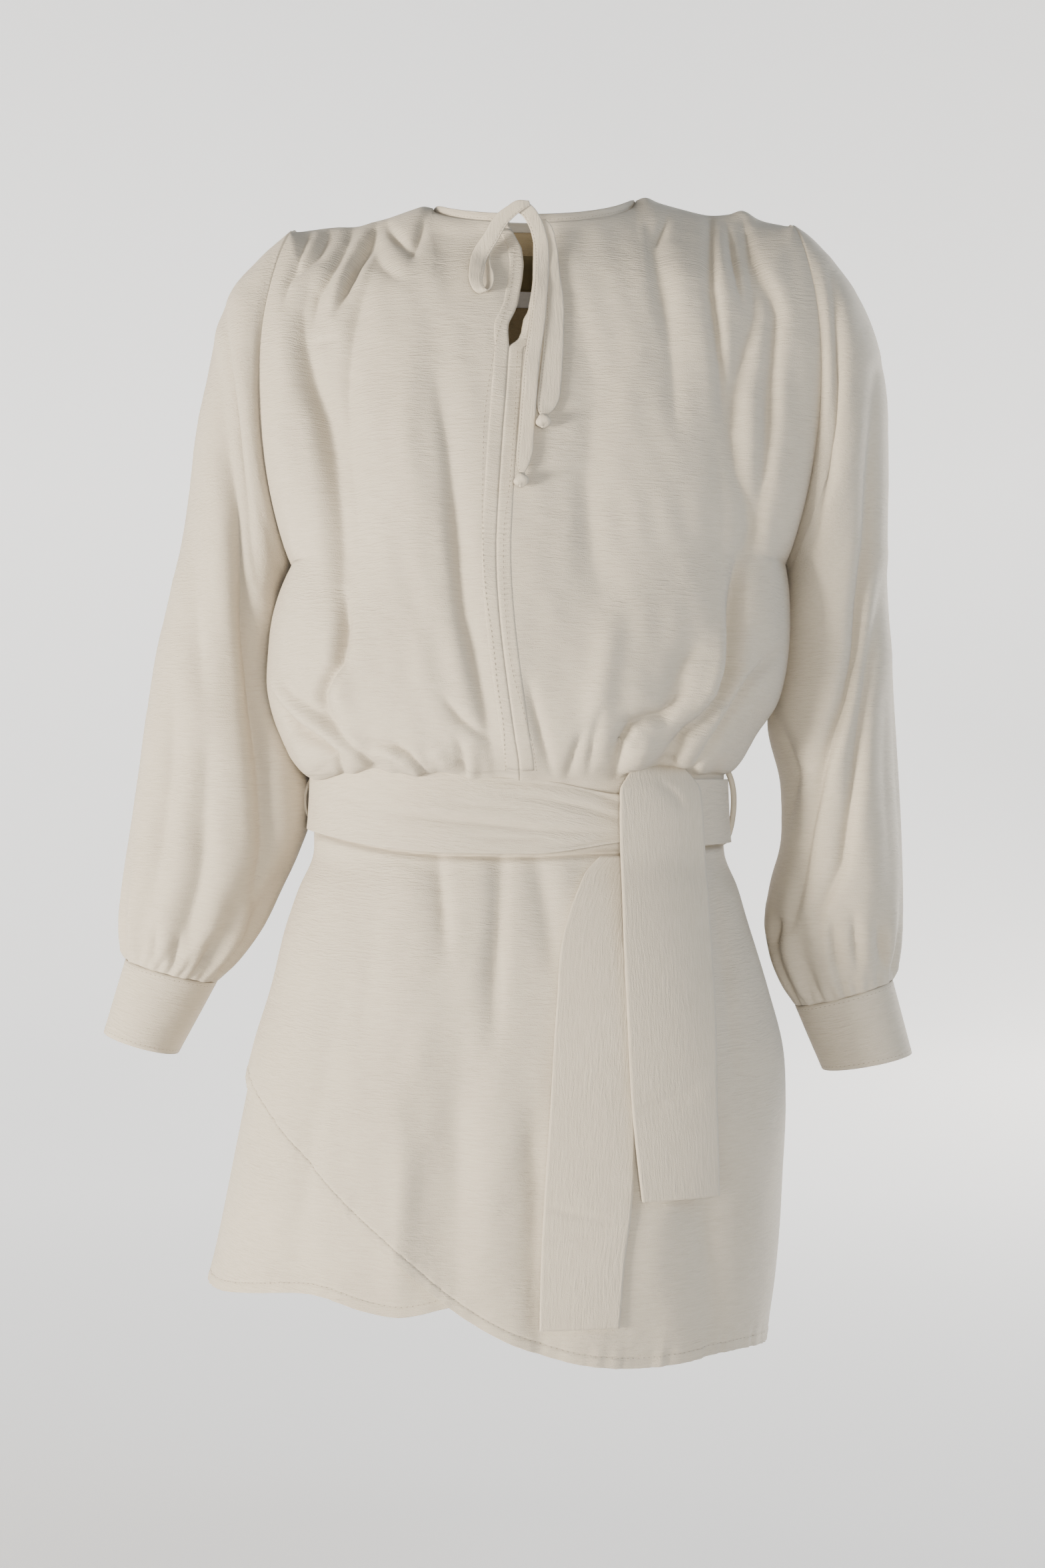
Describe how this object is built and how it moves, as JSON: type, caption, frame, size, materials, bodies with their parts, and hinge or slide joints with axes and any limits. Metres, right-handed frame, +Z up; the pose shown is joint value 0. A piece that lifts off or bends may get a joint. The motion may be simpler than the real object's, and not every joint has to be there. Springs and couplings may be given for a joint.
{
  "type": "tie-neck dress",
  "caption": "Short long-sleeved dress with a tied keyhole neck, gathered shoulders, bloused bodice, self belt and wrap skirt, filled out as if worn.",
  "frame": {"origin": "middle of the neck at the height of the shoulder seams, where the wearer's shoulders hold the dress", "axes": "+Z up, +X towards the wearer's left sleeve, -Y out of the dress's front"},
  "size_m": [0.5784, 0.2592, 0.8097],
  "materials": {
    "crinkle_cloth": "pale greige crinkle weave, matt with a faint sheen",
    "olive_label": "plain woven label",
    "white_tag": "plain woven tag"
  },
  "bodies": {
    "root": {"bodice_front_right": "crinkle_cloth", "bodice_front_left": "crinkle_cloth", "bodice_back": "crinkle_cloth", "placket_right": "crinkle_cloth", "placket_left": "crinkle_cloth", "neckband": "crinkle_cloth", "tie_loop": "crinkle_cloth", "tie_tail_long": "crinkle_cloth", "tie_tail_short": "crinkle_cloth", "tie_ball_long": "crinkle_cloth", "tie_ball_short": "crinkle_cloth", "sleeve_right": "crinkle_cloth", "sleeve_left": "crinkle_cloth", "cuff_right": "crinkle_cloth", "cuff_left": "crinkle_cloth", "skirt_overlap": "crinkle_cloth", "skirt_underlay": "crinkle_cloth", "skirt_back": "crinkle_cloth", "belt": "crinkle_cloth", "belt_end_short": "crinkle_cloth", "belt_end_long": "crinkle_cloth", "belt_loop_right": "crinkle_cloth", "belt_loop_left": "crinkle_cloth", "neck_label": "olive_label", "size_tag": "white_tag"}
  },
  "joints": []
}
